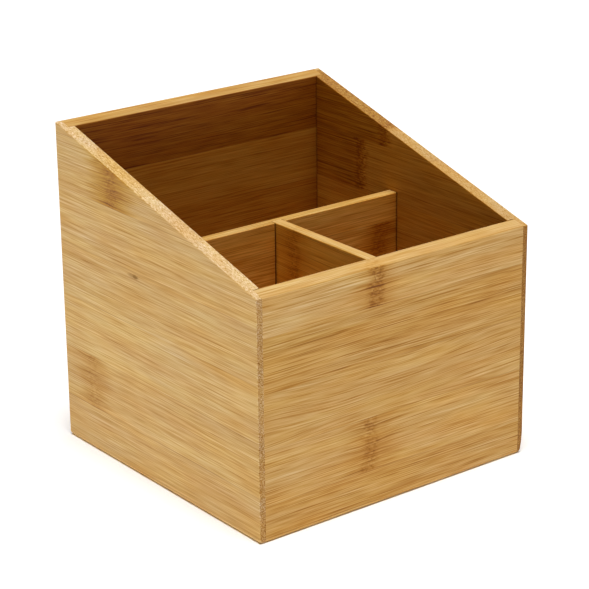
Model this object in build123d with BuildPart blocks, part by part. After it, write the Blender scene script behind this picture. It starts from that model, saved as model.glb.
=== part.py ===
"""Bamboo organizer for a coffee station: an open box with a high back and a low front.

A cross divider and a centre divider make one wide pocket behind and two equal pockets in front.
Sizes are in millimetres. The origin is the middle of the underside, +X is to the right as seen
from the low front, +Y is to the back and +Z is up.
"""

from build123d import *
import os

# Outside of the box
outer_width = 150.0  # left to right
outer_depth = 148.5  # front to back
front_height = 109.5  # at the outer face of the front
back_height = 152.0  # at the outer face of the back

# Thickness of the boards
wall_thickness = 6.5
divider_thickness = 5.3
base_thickness = 5.0

# Rabbeted corners: each side keeps a thin tongue that covers the end of the front and the back
corner_tongue = 3.0

# Base, let into grooves in the four walls
base_recess = 4.0  # from the foot of the walls up to the underside of the base
base_groove_depth = 3.0
base_end_gap = 0.3  # room for the base to swell, at the bottom of each groove

# Dividers, which stand on the base
divider_top = 106.0  # above the foot of the walls
front_pocket_depth = 75.5  # clear, from the front to the cross divider
housing_depth = 2.0  # how far the dividers' ends go into the walls
housing_play = 0.6  # open at the front of the cross divider and at the left of the centre divider
lap_depth = 2.6  # how far the centre divider goes into the cross divider

# Sanding, done on the glued box
corner_round = 0.6  # upright corners
foot_round = 2.0  # outer edges that the box stands on
rim_round = 0.5  # outer edges of the sloping rim
inner_ease = 0.4  # inner edges of the rim and top edges of the dividers
right_foot_relief_height = 11.0  # the foot of the right side leans in along a shallow curve
right_foot_relief_depth = 1.4

# How far a cut runs past the wood
overrun = 2.0

# Sizes that follow from the ones above
half_width = outer_width / 2
half_depth = outer_depth / 2
inner_half_width = half_width - wall_thickness
inner_half_depth = half_depth - wall_thickness
rabbet_depth = wall_thickness - corner_tongue
end_board_length = outer_width - 2 * corner_tongue
base_top = base_recess + base_thickness
divider_height = divider_top - base_top
housing_width = divider_thickness + housing_play
cross_divider_front = front_pocket_depth - inner_half_depth
cross_divider_middle = cross_divider_front + divider_thickness / 2
cross_housing_middle = cross_divider_middle - housing_play / 2
centre_housing_middle = -housing_play / 2

# The outer shape that the glued box is sanded to. Every wall is trimmed by it.
with BuildPart() as sanded_block:
    with BuildSketch(Plane.YZ):
        with BuildLine():
            Polyline(
                (-half_depth, 0),
                (half_depth, 0),
                (half_depth, back_height),
                (-half_depth, front_height),
                close=True,
            )
        make_face()
    extrude(amount=half_width, both=True)
    with BuildSketch(Plane.XZ):
        with BuildLine():
            relief = TangentArc(
                (half_width, right_foot_relief_height),
                (half_width - right_foot_relief_depth, 0),
                tangent=(0, -1),
            )
            Polyline(
                relief @ 1,
                (half_width - right_foot_relief_depth, -overrun),
                (half_width + overrun, -overrun),
                (half_width + overrun, right_foot_relief_height),
                relief @ 0,
            )
        make_face()
    extrude(amount=half_depth + overrun, both=True, mode=Mode.SUBTRACT)
    fillet(sanded_block.faces().sort_by(Axis.Z)[0].edges(), radius=foot_round)
    fillet(sanded_block.edges().filter_by(Axis.Z), radius=corner_round)
    fillet(sanded_block.faces().sort_by(Axis.Z)[-1].edges(), radius=rim_round)


def side_board(side):
    """A sloping side of the box, where side is -1 for the left one and 1 for the right one."""
    inner_face = side * inner_half_width
    with BuildPart() as board:
        with BuildSketch():
            with Locations((inner_face + side * wall_thickness / 2, 0)):
                Rectangle(wall_thickness, outer_depth)
            with GridLocations(0, outer_depth - wall_thickness, 1, 2):
                with Locations((inner_face + side * rabbet_depth / 2, 0)):
                    Rectangle(rabbet_depth, wall_thickness, mode=Mode.SUBTRACT)
        extrude(amount=back_height)
        with BuildSketch(Plane.XY.offset(base_recess)):
            with Locations((inner_face + side * base_groove_depth / 2, 0)):
                Rectangle(base_groove_depth, outer_depth)
        extrude(amount=base_thickness, mode=Mode.SUBTRACT)
        with BuildSketch(Plane.XY.offset(base_top)):
            with Locations((inner_face + side * housing_depth / 2, cross_housing_middle)):
                Rectangle(housing_depth, housing_width)
        extrude(amount=divider_height, mode=Mode.SUBTRACT)
        add(sanded_block.part, mode=Mode.INTERSECT)
        inner_edges = board.edges().group_by(Axis.X)[-1 if side < 0 else 0]
        fillet(inner_edges.sort_by(Axis.Z)[-1], radius=inner_ease)
    return board


def end_board(end, holds_divider):
    """The front, where end is -1, or the back, where it is 1. It sits in the sides' rabbets."""
    inner_face = end * inner_half_depth
    with BuildPart() as board:
        with BuildSketch():
            with Locations((0, inner_face + end * wall_thickness / 2)):
                Rectangle(end_board_length, wall_thickness)
        extrude(amount=back_height)
        with BuildSketch(Plane.XY.offset(base_recess)):
            with Locations((0, inner_face + end * base_groove_depth / 2)):
                Rectangle(end_board_length, base_groove_depth)
        extrude(amount=base_thickness, mode=Mode.SUBTRACT)
        if holds_divider:
            with BuildSketch(Plane.XY.offset(base_top)):
                with Locations((centre_housing_middle, inner_face + end * housing_depth / 2)):
                    Rectangle(housing_width, housing_depth)
            extrude(amount=divider_height, mode=Mode.SUBTRACT)
        add(sanded_block.part, mode=Mode.INTERSECT)
        inner_edges = board.edges().group_by(Axis.Y)[-1 if end < 0 else 0]
        fillet(inner_edges.sort_by(Axis.Z)[-1], radius=inner_ease)
    return board


left_side = side_board(-1)
right_side = side_board(1)
front_board = end_board(-1, holds_divider=True)
back_board = end_board(1, holds_divider=False)

# The base floats in the grooves of the four walls.
with BuildPart() as base_board:
    with BuildSketch(Plane.XY.offset(base_recess)):
        Rectangle(
            2 * (inner_half_width + base_groove_depth - base_end_gap),
            2 * (inner_half_depth + base_groove_depth - base_end_gap),
        )
    extrude(amount=base_thickness)

# The cross divider runs from side to side, with a slot in its front face for the centre divider.
with BuildPart() as cross_divider:
    with BuildSketch(Plane.XY.offset(base_top)):
        with Locations((0, cross_divider_middle)):
            Rectangle(2 * (inner_half_width + housing_depth), divider_thickness)
    extrude(amount=divider_height)
    top_edges = cross_divider.faces().sort_by(Axis.Z)[-1].edges().filter_by(Axis.X)
    fillet(top_edges, radius=inner_ease)
    with BuildSketch(Plane.XY.offset(base_top)):
        with Locations((centre_housing_middle, cross_divider_front + lap_depth / 2)):
            Rectangle(housing_width, lap_depth)
    extrude(amount=divider_height, mode=Mode.SUBTRACT)

# The centre divider runs from the front's housing to the bottom of the cross divider's slot.
with BuildPart() as centre_divider:
    centre_front_end = -inner_half_depth - housing_depth
    centre_back_end = cross_divider_front + lap_depth
    with BuildSketch(Plane.XY.offset(base_top)):
        with Locations((0, (centre_front_end + centre_back_end) / 2)):
            Rectangle(divider_thickness, centre_back_end - centre_front_end)
    extrude(amount=divider_height)
    top_edges = centre_divider.faces().sort_by(Axis.Z)[-1].edges().filter_by(Axis.Y)
    fillet(top_edges, radius=inner_ease)

# Write each board
os.makedirs("parts", exist_ok=True)

left_side.part.label = "left_side"
export_step(left_side.part, "parts/left_side.step")

right_side.part.label = "right_side"
export_step(right_side.part, "parts/right_side.step")

front_board.part.label = "front_board"
export_step(front_board.part, "parts/front_board.step")

back_board.part.label = "back_board"
export_step(back_board.part, "parts/back_board.step")

base_board.part.label = "base_board"
export_step(base_board.part, "parts/base_board.step")

cross_divider.part.label = "cross_divider"
export_step(cross_divider.part, "parts/cross_divider.step")

centre_divider.part.label = "centre_divider"
export_step(centre_divider.part, "parts/centre_divider.step")
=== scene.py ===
"""A bamboo coffee station organizer: the finish of its boards, a pale floor, soft light and a camera.

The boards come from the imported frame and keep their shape. Each one gets its own bamboo, with the strips
it is glued up from, the fibres along its length and the culm nodes where the photograph shows them.
Lengths are in metres, except that the bamboo is drawn in millimetres.
"""

import math

import bpy
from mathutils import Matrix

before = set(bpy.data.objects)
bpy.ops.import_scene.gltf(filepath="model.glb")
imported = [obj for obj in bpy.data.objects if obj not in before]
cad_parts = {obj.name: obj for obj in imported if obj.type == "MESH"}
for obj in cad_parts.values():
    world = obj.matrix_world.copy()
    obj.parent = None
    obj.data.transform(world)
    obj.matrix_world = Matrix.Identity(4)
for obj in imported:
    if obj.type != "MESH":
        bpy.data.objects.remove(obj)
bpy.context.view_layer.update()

MM_PER_METRE = 1000.0


# Colours

def colour(red, green, blue):
    """A colour given from 0 to 255 as a picture shows it, in the form that Blender takes."""
    linear = []
    for level in (red, green, blue):
        share = level / 255
        linear.append(share / 12.92 if share <= 0.04045 else ((share + 0.055) / 1.055) ** 2.4)
    return (*linear, 1.0)


def tint(red, green, blue):
    """What a colour is multiplied by, in the form that Blender takes."""
    return (red, green, blue, 1.0)


# The wood, from its darkest tone to its palest.
DARKEST_WOOD = colour(114, 62, 8)
DARK_WOOD = colour(159, 109, 35)
MIDDLING_WOOD = colour(184, 141, 73)
PALE_WOOD = colour(202, 165, 104)
PALEST_WOOD = colour(219, 188, 137)

# What parts of the wood lean to.
GOLDEN = tint(0.97, 0.89, 0.73)
BEIGE = tint(1.03, 1.11, 1.29)
YELLOW = tint(0.97, 0.975, 1.07)
ORANGE = tint(1.04, 1.03, 0.89)
DEEP_GOLD = tint(0.98, 0.94, 0.40)

# What sawing, sanding, the finish and use do to the wood, and the tints of painted highlight and painted
# shade.
SANDED = tint(1.00, 1.05, 1.24)
CHALKY = tint(0.99, 1.03, 1.20)
DULL = tint(0.99, 1.02, 1.30)
# Edges are painted paler with this, partly as wear and partly as a painted highlight where the rounding
# catches light.
WORN_AND_HIGHLIT = tint(1.08, 1.10, 1.16)
# Painted shade for the faces inside the box.
PAINTED_INSIDE_SHADING = tint(1.07, 0.87, 0.50)
# Painted shade near the corners inside the box.
PAINTED_CORNER_SHADE = tint(0.84, 0.78, 0.55)

# Small marks.
PIT = colour(116, 70, 18)
GLUE_LINE = colour(120, 76, 36)
FLECK = colour(126, 84, 2)
# Painted shade for the creases where one board meets the next.
PAINTED_CREASE_SHADE = colour(78, 30, 4)

WHITE = colour(255, 255, 255)


# Placing nodes

class Nodes:
    """Places and joins the nodes of one material or group. A value is a number, a colour or a socket."""

    def __init__(self, tree):
        self.tree = tree

    def feed(self, socket, value):
        """Links an input to the socket that its value comes from, or sets it to a plain value."""
        if isinstance(value, bpy.types.NodeSocket):
            self.tree.links.new(value, socket)
        else:
            socket.default_value = value

    def place(self, kind, values=None, **settings):
        """A new node with its settings, its inputs fed with the values given by name or by place."""
        node = self.tree.nodes.new(kind)
        for name, setting in settings.items():
            setattr(node, name, setting)
        for socket, value in (values or {}).items():
            self.feed(node.inputs[socket], value)
        return node

    def group(self, tree, values):
        """The outputs of a node group that is fed with values."""
        return self.place("ShaderNodeGroup", values, node_tree=tree).outputs

    def axes(self, vector):
        """A vector's X, Y and Z."""
        return self.place("ShaderNodeSeparateXYZ", {"Vector": vector}).outputs

    def math(self, operation, *values):
        return self.place("ShaderNodeMath", dict(enumerate(values)), operation=operation).outputs[0]

    def vector(self, operation, *values):
        return self.place("ShaderNodeVectorMath", dict(enumerate(values)), operation=operation).outputs[0]

    def ease(self, value, start, end, low=0.0, high=1.0):
        """Low up to start and high from end, with a smooth change between them."""
        values = {"Value": value, "From Min": start, "From Max": end, "To Min": low, "To Max": high}
        kind = "ShaderNodeMapRange"
        return self.place(kind, values, interpolation_type="SMOOTHSTEP").outputs["Result"]

    def mix(self, share, first, second, blend="MIX"):
        """The first colour, and as far as share goes from 0 to 1, the second."""
        values = {"Factor": share, 6: first, 7: second}
        return self.place("ShaderNodeMix", values, data_type="RGBA", blend_type=blend).outputs[2]

    def tinted(self, shade, by, share=1.0):
        """A colour multiplied by a tint, as far as share goes from 0 to 1."""
        return self.mix(share, shade, by, "MULTIPLY")

    def noise(self, grain, length, width, detail=2.0, roughness=0.5):
        """Noise whose blots are about so many millimetres long and wide, around a middle of 0.5."""
        stretched = self.vector("DIVIDE", grain, (length, width, width))
        values = {"Vector": stretched, "Scale": 1.0, "Detail": detail, "Roughness": roughness}
        return self.place("ShaderNodeTexNoise", values).outputs["Fac"]

    def swing(self, pattern, reach):
        """A pattern from 0 to 1 as a shift of up to reach either way."""
        return self.math("MULTIPLY_ADD", pattern, 2 * reach, -reach)

    def vary(self, pattern, amount, base):
        """Base, raised and lowered by so much of a pattern that has a middle of 0.5."""
        return self.math("MULTIPLY_ADD", self.math("SUBTRACT", pattern, 0.5), amount, base)

    def ramp(self, share, stops, interpolation="LINEAR"):
        """The outputs of a colour ramp with its stops given as (place, colour)."""
        node = self.place("ShaderNodeValToRGB", {"Fac": share})
        node.color_ramp.interpolation = interpolation
        elements = node.color_ramp.elements
        while len(elements) < len(stops):
            elements.new(1.0)
        # A stop that is moved can change places with another, so all are placed before any is coloured.
        for element, (place, shade) in zip(elements, stops):
            element.position = place
        for element, (place, shade) in zip(elements, stops):
            element.color = shade
        return node.outputs


def new_group(name, inputs, outputs):
    """A shader node group: the nodes to fill it with, its inputs to read and its outputs to feed."""
    tree = bpy.data.node_groups.new(name, "ShaderNodeTree")
    for label, kind in inputs.items():
        tree.interface.new_socket(label, in_out="INPUT", socket_type="NodeSocket" + kind)
    for label, kind in outputs.items():
        tree.interface.new_socket(label, in_out="OUTPUT", socket_type="NodeSocket" + kind)
    nodes = Nodes(tree)
    return nodes, nodes.place("NodeGroupInput").outputs, nodes.place("NodeGroupOutput").inputs


# The culm node, the ring that crosses a strip where a bamboo stem had a joint

def make_culm_node():
    """How far a point lies in a culm node's dark halo, in its core and in a pit of the core.

    Distance is measured along the strip from the ring, and reach is how far the halo goes.
    """
    nodes, given, result = new_group(
        "culm node",
        {"Grain": "Vector", "Distance": "Float", "Reach": "Float"},
        {"Halo": "Float", "Core": "Float", "Pits": "Float"},
    )
    grain = given["Grain"]
    # The ring wanders as it crosses the strip.
    wander = nodes.swing(nodes.noise(grain, length=400, width=6.0), 3.5)
    off = nodes.math("ABSOLUTE", nodes.math("ADD", given["Distance"], wander))
    # Each bundle of fibres darkens for its own length on each side of the ring.
    own_share = nodes.math("MULTIPLY_ADD", nodes.noise(grain, length=60, width=1.4, detail=1.0), 1.2, 0.40)
    reach = nodes.math("MULTIPLY", nodes.math("MAXIMUM", own_share, 0.5), given["Reach"])
    faded = nodes.math("DIVIDE", off, reach)
    broken = nodes.ease(nodes.noise(grain, length=6.0, width=1.1, detail=1.0), 0.30, 0.62, 0.80, 1.0)
    nodes.feed(result["Halo"], nodes.math("MULTIPLY", nodes.ease(faded, 1.15, 0.1), broken))
    nodes.feed(result["Core"], nodes.ease(off, 6.5, 2.0))
    pits = nodes.ease(nodes.noise(grain, length=1.0, width=0.75, detail=0.0), 0.66, 0.72)
    nodes.feed(result["Pits"], nodes.math("MULTIPLY", pits, nodes.ease(off, 4.0, 2.0)))
    return nodes.tree


culm_node = make_culm_node()


# Bamboo

def bend_fibres(nodes, grain, halo, figure):
    """The grain, bent as the fibres are."""
    # Fibres run nearly straight, and swerve round the culm nodes.
    drift = nodes.swing(nodes.noise(grain, length=140, width=30, detail=0.0), 1.0)
    swerve = nodes.swing(nodes.noise(grain, length=16, width=6, detail=1.0), 1.0)
    bend = nodes.math("MULTIPLY_ADD", swerve, halo, drift)
    # A figured strip was cut from a stem that wasn't straight.
    wave = nodes.swing(nodes.noise(grain, length=60, width=14, detail=0.0), 7.0)
    bend = nodes.math("MULTIPLY_ADD", wave, figure, bend)
    return nodes.vector("ADD", grain, nodes.place("ShaderNodeCombineXYZ", {"Y": bend}).outputs[0])


def find_bundles(nodes, bent):
    """How far a point lies in one of the long bundles of fibres."""
    stretched = nodes.vector("DIVIDE", bent, (20.0, 0.80, 0.80))
    cells = nodes.place("ShaderNodeTexVoronoi", {"Vector": stretched, "Scale": 1.0}, feature="F1")
    return nodes.ease(cells.outputs["Distance"], 0.42, 0.12)


def find_tone(nodes, given, bent, streaks, fibres, bundles, halo, core):
    """How pale the wood is, from 0 to 1."""
    dashes = nodes.noise(bent, length=14, width=0.45, detail=1.0)
    lines = nodes.ease(nodes.noise(bent, length=32, width=0.55, detail=0.0), 0.60, 0.74)
    fine = nodes.vary(streaks, 0.18, 0.045)
    fine = nodes.vary(fibres, 0.72, fine)
    fine = nodes.vary(dashes, 0.55, fine)
    fine = nodes.math("MULTIPLY_ADD", bundles, -0.06, fine)
    fine = nodes.math("MULTIPLY_ADD", lines, -0.19, fine)
    tone = nodes.math("MULTIPLY_ADD", fine, given["Contrast"], given["Tone"])
    # The ring's core is a jumble of short pale and dark dashes.
    jumble = nodes.math("SUBTRACT", nodes.noise(bent, length=2.2, width=1.0), 0.51)
    jumble = nodes.math("MULTIPLY", jumble, nodes.math("MULTIPLY_ADD", given["Node Roughness"], 0.4, 0.4))
    jumble = nodes.math("MULTIPLY_ADD", given["Node Roughness"], -0.14, jumble)
    tone = nodes.math("MULTIPLY_ADD", jumble, core, tone)
    tone = nodes.math("SUBTRACT", tone, nodes.math("MULTIPLY", halo, given["Node Darkness"]))
    # Where the saw crosses the fibres, their ends show as dots, and the wood takes in more finish.
    speckle = nodes.noise(given["Grain"], length=1.2, width=0.45, detail=1.0)
    speckle = nodes.math("MULTIPLY", nodes.math("SUBTRACT", speckle, 0.48), given["Contrast"])
    speckle = nodes.math("MULTIPLY", speckle, given["Cut Across"])
    tone = nodes.math("MULTIPLY_ADD", speckle, 1.05, tone)
    return nodes.math("MULTIPLY_ADD", given["End Grain"], -0.30, tone)


def find_colour(nodes, given, bent, tone, halo, pits):
    """The wood's colour at its tone, with what the saw and the finish make of it."""
    wood = nodes.ramp(tone, [
        (0.00, DARKEST_WOOD),
        (0.25, DARK_WOOD),
        (0.50, MIDDLING_WOOD),
        (0.75, PALE_WOOD),
        (1.00, PALEST_WOOD),
    ])["Color"]
    # Broad bands and patches are beige or golden, and some of the strip is more orange.
    bands = nodes.noise(bent, length=110, width=7.0, detail=1.0)
    patches = nodes.noise(bent, length=26, width=9.0, detail=1.0)
    beige_share = nodes.vary(patches, 1.2, nodes.vary(bands, 1.5, 0.5))
    beige_share = nodes.math("MULTIPLY_ADD", halo, -0.35, beige_share)
    wood = nodes.tinted(wood, nodes.mix(beige_share, GOLDEN, BEIGE))
    hue = nodes.math("MULTIPLY_ADD", nodes.noise(given["Grain"], length=45, width=8.0), 2.4, -0.7)
    orange_share = nodes.math("ADD", hue, given["Warmth"])
    wood = nodes.tinted(wood, nodes.mix(orange_share, YELLOW, ORANGE))
    # Round some nodes the wood is a deep gold.
    wood = nodes.tinted(wood, DEEP_GOLD, nodes.math("MULTIPLY", halo, given["Node Gold"]))
    wood = nodes.mix(pits, wood, PIT)
    # The sawn edges were sanded last, and keep less of the finish.
    wood = nodes.tinted(wood, SANDED, given["Sawn"])
    wood = nodes.tinted(wood, CHALKY, given["Cut Across"])
    wood = nodes.tinted(wood, DULL, given["End Grain"])
    # Faces inside the box are multiplied by a painted shading tint, which darkens and warms them as the
    # shade inside the box does.
    return nodes.tinted(wood, given["Painted Inside Shading"], given["Inside"])


def make_bamboo():
    """Colour, roughness and height of bamboo, in millimetres along the grain, across it and in depth."""
    nodes, given, result = new_group(
        "bamboo",
        {
            "Grain": "Vector",
            "Tone": "Float",
            "Warmth": "Float",
            "Figure": "Float",
            "Node Distance": "Float",
            "Node Reach": "Float",
            "Node Darkness": "Float",
            "Node Roughness": "Float",
            "Node Gold": "Float",
            "Cut Across": "Float",
            "End Grain": "Float",
            "Sawn": "Float",
            "Inside": "Float",
            "Painted Inside Shading": "Color",
            "Contrast": "Float",
        },
        {"Colour": "Color", "Roughness": "Float", "Height": "Float"},
    )
    ring = {"Grain": given["Grain"], "Distance": given["Node Distance"], "Reach": given["Node Reach"]}
    halo, core, pits = nodes.group(culm_node, ring)
    pits = nodes.math("MULTIPLY", pits, nodes.math("MULTIPLY", given["Node Roughness"], 0.7))

    bent = bend_fibres(nodes, given["Grain"], halo, given["Figure"])
    streaks = nodes.noise(bent, length=38, width=1.2, roughness=0.6)
    fibres = nodes.noise(bent, length=50, width=0.40, detail=1.0)
    bundles = find_bundles(nodes, bent)
    tone = find_tone(nodes, given, bent, streaks, fibres, bundles, halo, core)
    nodes.feed(result["Colour"], find_colour(nodes, given, bent, tone, halo, pits))

    rough = nodes.vary(streaks, -0.25, 0.52)
    rough = nodes.math("MULTIPLY_ADD", nodes.math("MAXIMUM", pits, given["End Grain"]), 0.15, rough)
    nodes.feed(result["Roughness"], rough)
    height = nodes.math("MULTIPLY_ADD", fibres, 0.5, nodes.math("MULTIPLY", streaks, 0.5))
    height = nodes.math("MULTIPLY_ADD", bundles, -0.35, height)
    height = nodes.math("MULTIPLY_ADD", pits, -0.4, height)
    nodes.feed(result["Height"], height)
    return nodes.tree


bamboo = make_bamboo()


# Marks of making and use, with painted highlights and painted shade

# The width of an edge painted pale as wear and as a highlight, and of a painted crease shade, in metres.
WORN_AND_HIGHLIT_WIDTH = 0.0007
CREASE_SHADE_WIDTH = 0.0019


def make_dark_fleck():
    """A small dark fleck with a faint tail along the grain, at a place given in millimetres."""
    nodes, given, result = new_group(
        "dark fleck",
        {"Grain": "Vector", "Along": "Float", "Across": "Float"},
        {"Mask": "Float"},
    )
    place = nodes.axes(given["Grain"])
    ragged = nodes.swing(nodes.noise(given["Grain"], length=3.0, width=0.6, detail=1.0), 0.4)
    across = nodes.math("ADD", nodes.math("SUBTRACT", place["Y"], given["Across"]), ragged)
    along = nodes.math("SUBTRACT", place["X"], given["Along"])

    def blot(length, width, shift):
        """A soft oval, 1 in its middle and 0 outside, so long and wide each way from its middle."""
        far = nodes.math("POWER", nodes.math("DIVIDE", nodes.math("SUBTRACT", along, shift), length), 2.0)
        wide = nodes.math("POWER", nodes.math("DIVIDE", across, width), 2.0)
        return nodes.ease(nodes.math("ADD", far, wide), 1.0, 0.1)

    tail = nodes.math("MULTIPLY", blot(5.5, 1.2, 1.5), 0.40)
    middle = nodes.math("MULTIPLY", blot(2.8, 1.1, 0.0), 0.90)
    nodes.feed(result["Mask"], nodes.math("MAXIMUM", middle, tail))
    return nodes.tree


def make_edge_wear_and_painted_light():
    """Where the edges are painted pale, as wear and as a painted highlight, and the painted shade in the
    creases where one board meets the next.
    """
    nodes, given, result = new_group(
        "edge wear and painted light",
        {"Grain": "Vector", "Above Floor": "Float"},
        {"Worn And Highlit Edge": "Float", "Painted Crease Shade": "Float"},
    )
    flat = nodes.place("ShaderNodeNewGeometry").outputs["Normal"]
    rounded = nodes.place("ShaderNodeBevel", {"Radius": WORN_AND_HIGHLIT_WIDTH}, samples=6).outputs["Normal"]
    likeness = nodes.place("ShaderNodeVectorMath", {0: flat, 1: rounded}, operation="DOT_PRODUCT")
    edge = nodes.ease(likeness.outputs["Value"], 0.985, 0.80)
    rubbed = nodes.ease(nodes.noise(given["Grain"], length=12, width=12), 0.35, 0.6, 0.3, 1.0)
    nodes.feed(result["Worn And Highlit Edge"], nodes.math("MULTIPLY", edge, rubbed))
    # The creases are painted dark as shade, where little of the space round a point is open.
    open_share = nodes.place("ShaderNodeAmbientOcclusion", {"Distance": CREASE_SHADE_WIDTH}, samples=8)
    crease_shade = nodes.ease(open_share.outputs["AO"], 0.75, 0.35, 0.0, 0.85)
    # The box stands loose on the floor, so its foot gets no painted crease shade.
    nodes.feed(result["Painted Crease Shade"], nodes.math("MULTIPLY", crease_shade, nodes.ease(given["Above Floor"], 2.0, 4.0)))
    return nodes.tree


dark_fleck = make_dark_fleck()
edge_wear_and_painted_light = make_edge_wear_and_painted_light()


# Boards

# A place along a board is kept in a ramp as a share of this length, half of it each side of the middle.
NODE_SPAN = 200.0
NO_NODE = -NODE_SPAN / 2
# A strip without a culm node has one this far off.
FAR_OFF = -1000.0
# How far a culm node reaches is kept as a share of this length.
REACH_SPAN = 30.0
# A ramp holds nothing below 0, so warmth and darkness are kept with this added.
RAMP_LIFT = 0.5
# The patterns of neighbouring strips come from this far apart in a line of random places.
STEM_STEP = 0.37
# How far apart those places can be, along, across and in depth.
PATTERN_SPREAD = (900.0, 90.0, 90.0)
# How far from the next board the painted corner shade reaches inside the box, in metres.
CORNER_SHADE_REACH = 0.045
# How high the fibres stand, in metres.
FIBRE_HEIGHT = 0.00006


def strip(tone, warmth=0.0, node=NO_NODE, reach=14.0, darkness=0.24, roughness=0.6, gold=0.0, figure=0.0):
    """One strip of a board, as the two colours that hold its values in a ramp.

    Tone is how pale the strip is, warmth how orange and figure how wavy. Node is the place of its culm node
    along the board, and reach is how far from there the wood is darker, both in millimetres. Darkness is how
    much darker it is, or paler where it is below 0. Roughness is how jumbled the ring is, and gold how
    golden the wood round it.
    """
    wood = (tone, warmth + RAMP_LIFT, (node + NODE_SPAN / 2) / NODE_SPAN, figure)
    ring = (darkness + RAMP_LIFT, roughness, reach / REACH_SPAN, gold)
    return wood, ring


def find_strip(nodes, height, first_seam, strip_width):
    """The number of the strip that a point lies in, from the low edge, and how far off its seam is."""
    counted = nodes.math("DIVIDE", nodes.math("SUBTRACT", height, first_seam), strip_width)
    counted = nodes.math("ADD", counted, 1.0)
    index = nodes.math("FLOOR", counted)
    off_middle = nodes.math("SUBTRACT", nodes.math("SUBTRACT", counted, index), 0.5)
    seam_share = nodes.math("SUBTRACT", 0.5, nodes.math("ABSOLUTE", off_middle))
    return index, nodes.math("MULTIPLY", seam_share, strip_width)


def look_up(nodes, index, listed):
    """The four values of a strip, from a ramp with one even step for each strip."""
    share = nodes.math("DIVIDE", nodes.math("ADD", index, 0.5), float(len(listed)))
    steps = [(place / len(listed), values) for place, values in enumerate(listed)]
    chosen = nodes.ramp(share, steps, "CONSTANT")
    values = nodes.place("ShaderNodeSeparateColor", {"Color": chosen["Color"]}).outputs
    return values["Red"], values["Green"], values["Blue"], chosen["Alpha"]


def find_node(nodes, along, node_share):
    """How far past its strip's culm node a point lies, in millimetres along the board."""
    node_place = nodes.math("MULTIPLY_ADD", node_share, NODE_SPAN, -NODE_SPAN / 2)
    distance = nodes.math("SUBTRACT", along, node_place)
    least_share = 0.01
    absent = nodes.math("LESS_THAN", node_share, least_share)
    return nodes.math("MULTIPLY_ADD", absent, FAR_OFF, distance)


def own_pattern(nodes, grain, index, number):
    """The grain, moved for each strip to a place of its own, because each comes from another stem."""
    stem = nodes.math("MULTIPLY_ADD", index, STEM_STEP, float(number))
    moved = nodes.place("ShaderNodeTexWhiteNoise", {"W": stem}, noise_dimensions="1D").outputs["Color"]
    return nodes.vector("MULTIPLY_ADD", moved, PATTERN_SPREAD, grain)


def find_faces(nodes, normal_along, normal_depth, inside):
    """How far a point lies where the saw crosses the fibres, on an end, on a sawn edge and inside the box.

    The sloping rims cross the fibres at a shallow angle, and the ends squarely.
    """
    across_fibres = nodes.math("ABSOLUTE", normal_along)
    cut_across = nodes.ease(across_fibres, 0.10, 0.27)
    end_grain = nodes.ease(across_fibres, 0.55, 0.9)
    sawn = nodes.ease(nodes.math("ABSOLUTE", normal_depth), 0.8, 0.4)
    if inside:
        inward = nodes.math("MULTIPLY", normal_depth, float(inside))
    else:
        inward = nodes.math("ABSOLUTE", normal_depth)
    return cut_across, end_grain, sawn, nodes.ease(inward, 0.5, 0.9)


def add_glue_line(nodes, wood, own_grain, seam, cut_across):
    """The wood with the glue line between two strips, which shows here and there.

    Where the saw crossed the fibres it is faintest.
    """
    glued = nodes.ease(nodes.noise(own_grain, length=45, width=30, detail=1.0), 0.42, 0.60, 0.05, 0.40)
    line = nodes.math("MULTIPLY", nodes.ease(seam, 0.30, 0.05), glued)
    line = nodes.math("MULTIPLY", line, nodes.ease(cut_across, 0.0, 1.0, 1.0, 0.3))
    return nodes.mix(line, wood, GLUE_LINE)


def add_wear(nodes, wood, own_grain, above_floor, sawn, inside_face):
    """The wood with its edges painted pale as wear and as a highlight, and with painted shade near the
    corners and in the creases.
    """
    wear = nodes.group(edge_wear_and_painted_light, {"Grain": own_grain, "Above Floor": above_floor})
    # The edges are painted paler, partly as wear and partly as a painted highlight.
    finish = nodes.tinted(wood, WORN_AND_HIGHLIT, wear["Worn And Highlit Edge"])
    # Inside the box the wood is painted darker near the corners and deep in the pockets, as painted shade.
    corner = nodes.place("ShaderNodeAmbientOcclusion", {"Distance": CORNER_SHADE_REACH}, samples=8).outputs["AO"]
    painted_corner_shade = nodes.math("MULTIPLY", nodes.ease(corner, 0.90, 0.35), inside_face)
    finish = nodes.tinted(finish, PAINTED_CORNER_SHADE, painted_corner_shade)
    # The creases get painted shade: fully inside the box, less on the outer faces and least on the sawn
    # edges.
    crease_shade = nodes.math("MULTIPLY", wear["Painted Crease Shade"], nodes.ease(inside_face, 0.0, 1.0, 0.45, 1.0))
    crease_shade = nodes.math("MULTIPLY", crease_shade, nodes.ease(sawn, 0.0, 1.0, 1.0, 0.35))
    return nodes.mix(crease_shade, finish, PAINTED_CREASE_SHADE)


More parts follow.
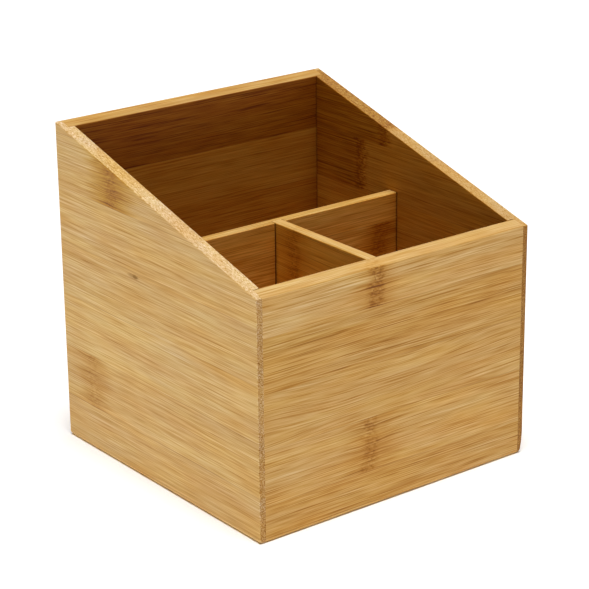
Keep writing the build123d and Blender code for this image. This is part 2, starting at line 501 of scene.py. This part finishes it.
def board_bamboo(
    name, along, across, depth, first_seam, strip_width, strips, number, inside,
    contrast=1.0, edge_contrast=0.75, edge_tone=0.0, painted_inside_shading=PAINTED_INSIDE_SHADING,
    deepening=0.0, beyond_node=0.0, fleck=None,
):
    """Bamboo for one board. Along, across and depth are the axes of its length, width and thickness.

    The strips are listed from the low edge, the first one ending at first_seam, in millimetres. Number
    picks the pattern of the board's grain. Inside is the way that the inner face looks along the depth,
    1 or -1, or 0 where both faces are inside the box.

    Contrast is how strongly the fibres show, and edge_contrast the share of it on the sawn edges. Edge_tone
    makes those edges paler or darker than the faces. The inside shading tint is painted light and shade: the
    faces inside the box multiply the wood's colour by it, and deepening is how much further apart the
    strips' tones are there.
    Beyond_node is how much paler or darker a strip is past its culm node, toward the end of the board.
    Fleck is the place of a dark fleck along and across the board.
    """
    material = bpy.data.materials.new(name)
    material.use_nodes = True
    material.node_tree.nodes.clear()
    nodes = Nodes(material.node_tree)
    point = nodes.place("ShaderNodeTexCoord").outputs
    axes = nodes.axes(point["Object"])
    normal = nodes.axes(point["Normal"])
    turned = {"X": axes[along], "Y": axes[across], "Z": axes[depth]}
    turned = nodes.place("ShaderNodeCombineXYZ", turned).outputs[0]
    scaled = nodes.place("ShaderNodeVectorMath", {0: turned, "Scale": MM_PER_METRE}, operation="SCALE")
    grain = scaled.outputs[0]
    place = nodes.axes(grain)

    index, seam = find_strip(nodes, place["Y"], first_seam, strip_width)
    own_grain = own_pattern(nodes, grain, index, number)
    strip_tone, lifted_warmth, node_share, figure = look_up(nodes, index, [wood for wood, ring in strips])
    lifted_darkness, roughness, reach_share, gold = look_up(nodes, index, [ring for wood, ring in strips])
    node_distance = find_node(nodes, place["X"], node_share)
    cut_across, end_grain, sawn, inside_face = find_faces(nodes, normal[along], normal[depth], inside)

    tone = nodes.math("MULTIPLY_ADD", sawn, edge_tone, strip_tone)
    deeper = nodes.math("MULTIPLY", nodes.math("SUBTRACT", strip_tone, 0.5), inside_face)
    tone = nodes.math("MULTIPLY_ADD", deeper, deepening, tone)
    # A stem can change its tone at a culm node.
    beyond = nodes.ease(node_distance, -3.0, 1.0)
    tone = nodes.math("MULTIPLY_ADD", beyond, beyond_node, tone)
    # On the sawn edges a node hardly shows, and its gold shows best on the outer face.
    shown = nodes.math("MULTIPLY_ADD", sawn, -0.85, 1.0)
    gold_shown = nodes.ease(nodes.math("MAXIMUM", sawn, inside_face), 0.0, 1.0, 1.0, 0.25)
    darkness = nodes.math("SUBTRACT", lifted_darkness, RAMP_LIFT)
    wood = nodes.group(bamboo, {
        "Grain": own_grain,
        "Tone": tone,
        "Warmth": nodes.math("SUBTRACT", lifted_warmth, RAMP_LIFT),
        "Figure": figure,
        "Node Distance": node_distance,
        "Node Reach": nodes.math("MULTIPLY", reach_share, REACH_SPAN),
        "Node Darkness": nodes.math("MULTIPLY", darkness, shown),
        "Node Roughness": nodes.math("MULTIPLY", roughness, shown),
        "Node Gold": nodes.math("MULTIPLY", gold, gold_shown),
        "Cut Across": cut_across,
        "End Grain": end_grain,
        "Sawn": sawn,
        "Inside": inside_face,
        "Painted Inside Shading": painted_inside_shading,
        "Contrast": nodes.ease(sawn, 0.0, 1.0, contrast, edge_contrast * contrast),
    })

    finish = add_glue_line(nodes, wood["Colour"], own_grain, seam, cut_across)
    if fleck:
        spot = nodes.group(dark_fleck, {"Grain": grain, "Along": fleck[0], "Across": fleck[1]})
        finish = nodes.mix(spot["Mask"], finish, FLECK)
    above_floor = nodes.math("MULTIPLY", axes["Z"], MM_PER_METRE)
    finish = add_wear(nodes, finish, own_grain, above_floor, sawn, inside_face)
    fibres = {"Height": wood["Height"], "Distance": FIBRE_HEIGHT, "Strength": 0.6}
    surface = nodes.place("ShaderNodeBsdfPrincipled", {
        "Base Color": finish,
        "Roughness": wood["Roughness"],
        "Normal": nodes.place("ShaderNodeBump", fibres).outputs["Normal"],
        "IOR": 1.45,
        "Specular IOR Level": 0.15,
    })
    nodes.place("ShaderNodeOutputMaterial", {"Surface": surface.outputs["BSDF"]})
    return material


board_finish = {
    "left_side": board_bamboo(
        "bamboo of the left side", "Y", "Z", "X", first_seam=21.2, strip_width=25.2,
        strips=[
            strip(0.57),
            strip(0.58, node=52.0, reach=16, darkness=0.15, roughness=0.1, gold=0.2),
            strip(0.62, warmth=0.1),
            strip(0.60),
            strip(0.63),
            strip(0.60, node=31.0, reach=20, darkness=0.31, roughness=0.5, gold=1.0),
            strip(0.62),
        ],
        number=1, inside=1, contrast=0.95, edge_contrast=1.0, fleck=(13.85, 94.9),
    ),
    "right_side": board_bamboo(
        "bamboo of the right side", "Y", "Z", "X", first_seam=25.4, strip_width=25.2,
        strips=[
            strip(0.45),
            strip(0.40),
            strip(0.45),
            strip(0.42, warmth=0.1),
            strip(0.43, node=33.5, reach=7, darkness=-0.22, roughness=1.5),
            strip(0.40, node=16.0, reach=8, darkness=-0.15, roughness=1.2),
            strip(0.43),
        ],
        number=2, inside=-1, contrast=0.85, beyond_node=-0.22, edge_tone=-0.01,
        painted_inside_shading=tint(1.12, 0.87, 0.36),
    ),
    "front_board": board_bamboo(
        "bamboo of the front", "X", "Z", "Y", first_seam=16.9, strip_width=25.0,
        strips=[
            strip(0.40, warmth=-0.1),
            strip(0.49, warmth=-0.2, node=-15.5, reach=20, darkness=0.13, roughness=0.45),
            strip(0.47, warmth=-0.3, figure=0.6),
            strip(0.42, warmth=-0.1),
            strip(0.55, warmth=-0.4, node=-12.0, reach=14, darkness=0.19, roughness=1.0),
        ],
        number=3, inside=1, edge_tone=-0.03,
    ),
    "back_board": board_bamboo(
        "bamboo of the back", "X", "Z", "Y", first_seam=24.0, strip_width=25.2,
        strips=[
            strip(0.45),
            strip(0.48, warmth=0.2, node=40.0),
            strip(0.42),
            strip(0.47, warmth=0.1),
            strip(0.53),
            strip(0.33),
            strip(0.38),
        ],
        # The back's inner face gets a much darker painted shade.
        number=4, inside=-1, deepening=0.8, painted_inside_shading=tint(0.86, 0.56, 0.17),
    ),
    "base_board": board_bamboo(
        "bamboo of the base", "X", "Y", "Z", first_seam=-50.0, strip_width=25.0,
        strips=[strip(0.50), strip(0.54), strip(0.48, node=20.0), strip(0.52), strip(0.50), strip(0.55)],
        number=5, inside=1,
    ),
    "cross_divider": board_bamboo(
        "bamboo of the cross divider", "X", "Z", "Y", first_seam=17.4, strip_width=25.2,
        strips=[
            strip(0.60),
            strip(0.62),
            strip(0.62),
            strip(0.60, warmth=0.2, node=59.0, darkness=0.34),
            strip(0.66, warmth=0.3),
        ],
        number=6, inside=0, contrast=1.3, edge_tone=-0.26, painted_inside_shading=tint(1.26, 0.93, 0.44),
    ),
    "centre_divider": board_bamboo(
        "bamboo of the centre divider", "Y", "Z", "X", first_seam=4.0, strip_width=25.2,
        strips=[strip(0.64), strip(0.64), strip(0.66), strip(0.66), strip(0.72, warmth=0.2, node=-5.0)],
        number=7, inside=0, edge_tone=-0.17, painted_inside_shading=tint(1.35, 1.03, 0.35),
    ),
}

for name, material in board_finish.items():
    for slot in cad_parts[name].material_slots:
        slot.material = material


# Floor, surroundings, light and camera

def make_floor():
    """A light table: it glows softly on the box, and the camera sees only what falls on it."""
    floor_reach = 3.0
    pale_grey = (0.86, 0.86, 0.86, 1.0)
    glow = 0.58
    bpy.ops.mesh.primitive_plane_add(size=2 * floor_reach, location=(0, 0, 0))
    floor = bpy.context.object
    floor.name = "floor"
    material = bpy.data.materials.new("pale floor")
    material.use_nodes = True
    surface = material.node_tree.nodes["Principled BSDF"]
    surface.inputs["Base Color"].default_value = pale_grey
    surface.inputs["Roughness"].default_value = 0.9
    surface.inputs["Specular IOR Level"].default_value = 0.0
    surface.inputs["Emission Color"].default_value = WHITE
    nodes = Nodes(material.node_tree)
    seen = nodes.place("ShaderNodeLightPath").outputs["Is Camera Ray"]
    nodes.feed(surface.inputs["Emission Strength"], nodes.ease(seen, 0.0, 1.0, glow, 0.0))
    floor.data.materials.append(material)


def make_surroundings():
    """White where the camera, a gloss or a clear piece sees it, and dark as a source of light."""
    unseen_glow = 0.03
    world = bpy.data.worlds.new("surroundings")
    world.use_nodes = True
    bpy.context.scene.world = world
    nodes = Nodes(world.node_tree)
    path = nodes.place("ShaderNodeLightPath").outputs
    seen = nodes.math("MAXIMUM", path["Is Camera Ray"], path["Is Glossy Ray"])
    seen = nodes.math("MAXIMUM", seen, path["Is Transmission Ray"])
    background = world.node_tree.nodes["Background"]
    background.inputs["Color"].default_value = WHITE
    nodes.feed(background.inputs["Strength"], nodes.ease(seen, 0.0, 1.0, unseen_glow, 1.0))


def make_lamp():
    """A wide softbox overhead, a little in front of the box and to its left."""
    overhead = bpy.data.lights.new("overhead softbox", "SUN")
    overhead.energy = 1.42 * math.pi
    overhead.angle = math.radians(32)
    lamp = bpy.data.objects.new("overhead softbox", overhead)
    lean_forward = math.radians(6)
    lean_left = math.radians(3)
    lamp.rotation_euler = (lean_forward, -lean_left, 0)
    bpy.context.collection.objects.link(lamp)


def make_camera():
    """The photograph's camera, fitted to the edges of the box. Its turns are in degrees."""
    photo_pixels = 589
    focal_pixels = 2161.5
    camera = bpy.data.cameras.new("camera")
    camera.sensor_width = 36.0
    camera.lens = camera.sensor_width * focal_pixels / photo_pixels
    camera_object = bpy.data.objects.new("camera", camera)
    camera_object.location = (-0.55917, -0.72790, 0.41156)
    turn = (69.7659, 0.6027, -37.8332)
    camera_object.rotation_euler = [math.radians(angle) for angle in turn]
    bpy.context.collection.objects.link(camera_object)
    bpy.context.scene.camera = camera_object


make_floor()
make_surroundings()
make_lamp()
make_camera()
bpy.context.scene.view_settings.view_transform = "Standard"
